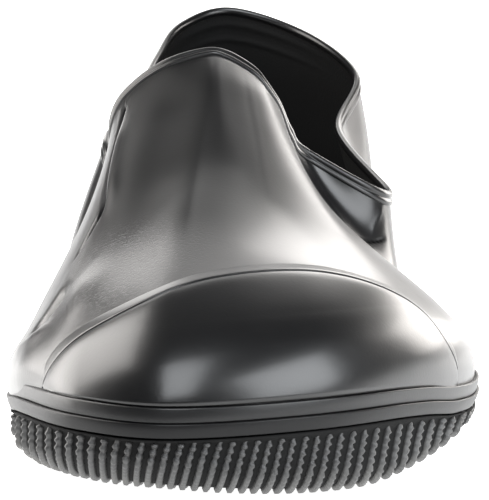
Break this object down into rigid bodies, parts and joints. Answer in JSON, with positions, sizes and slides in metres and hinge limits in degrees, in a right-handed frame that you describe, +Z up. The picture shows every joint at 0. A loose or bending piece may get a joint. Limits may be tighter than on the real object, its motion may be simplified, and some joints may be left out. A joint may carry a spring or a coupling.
{
  "type": "rubber overshoe",
  "caption": "Low black rubber overshoe with an instep flap, raised toe cap, banded foot and ribbed sole, pulled on over a shoe.",
  "frame": {"origin": "centre of the underside of the bounding box, on the floor that the sole stands on", "axes": "+Z up, toe towards -Y and heel towards +Y, the wearer's outer side towards +X"},
  "size_m": [0.1101, 0.3018, 0.0871],
  "materials": {
    "black_rubber": "satin black moulded rubber",
    "sole_rubber": "matt black moulded rubber",
    "lining": "matt black inside"
  },
  "bodies": {
    "root": {"outsole": "sole_rubber", "heel": "sole_rubber", "insole": "lining", "upper": "black_rubber", "rand_strip": "black_rubber", "foxing_strip": "black_rubber", "toe_cap": "black_rubber", "collar_binding": "black_rubber"}
  },
  "joints": []
}
